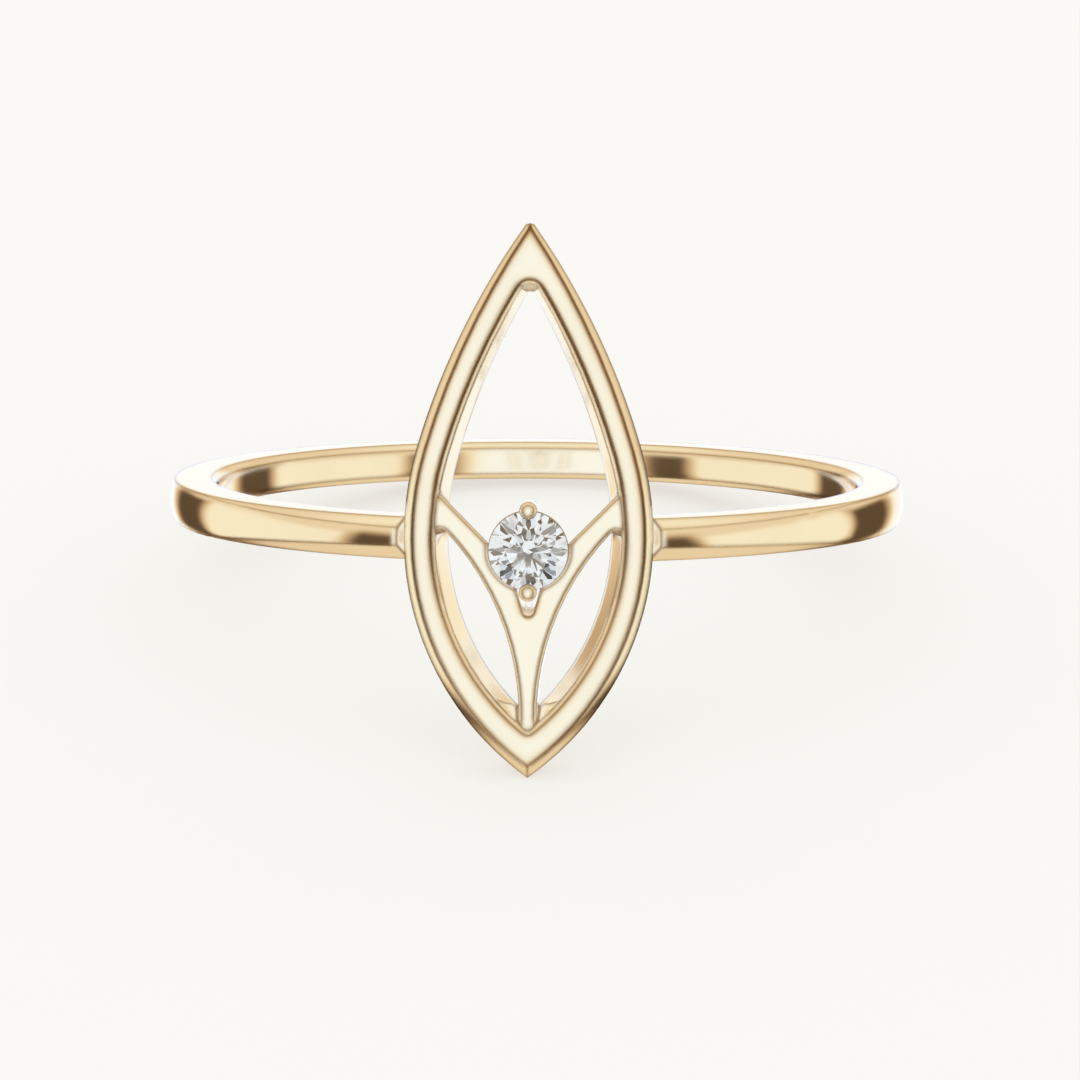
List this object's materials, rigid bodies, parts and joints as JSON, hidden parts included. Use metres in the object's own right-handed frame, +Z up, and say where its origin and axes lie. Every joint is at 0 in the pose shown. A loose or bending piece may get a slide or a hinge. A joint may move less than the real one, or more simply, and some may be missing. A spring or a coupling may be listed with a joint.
{
  "type": "ring",
  "caption": "Slim finger ring with an open navette frame standing across the band, a Y-shaped web inside it, and a round brilliant held by bead prongs over a teardrop slot",
  "frame": {"origin": "The middle of the finger hole, on the axis of the band's bore, half way along the band's width", "axes": "The ring lies on its side at rest, +Z up. The head with the stone stands at -Y, the back of the band at +Y, and X runs across the finger. The finger's axis leans 16 degrees from +Z towards +Y"},
  "size_m": [0.0198, 0.0206, 0.0135],
  "materials": {
    "gold": "high polish yellow gold",
    "diamond": "cut and polished stone"
  },
  "bodies": {
    "root": {"ring_body": "gold", "round_brilliant": "diamond"}
  },
  "joints": []
}
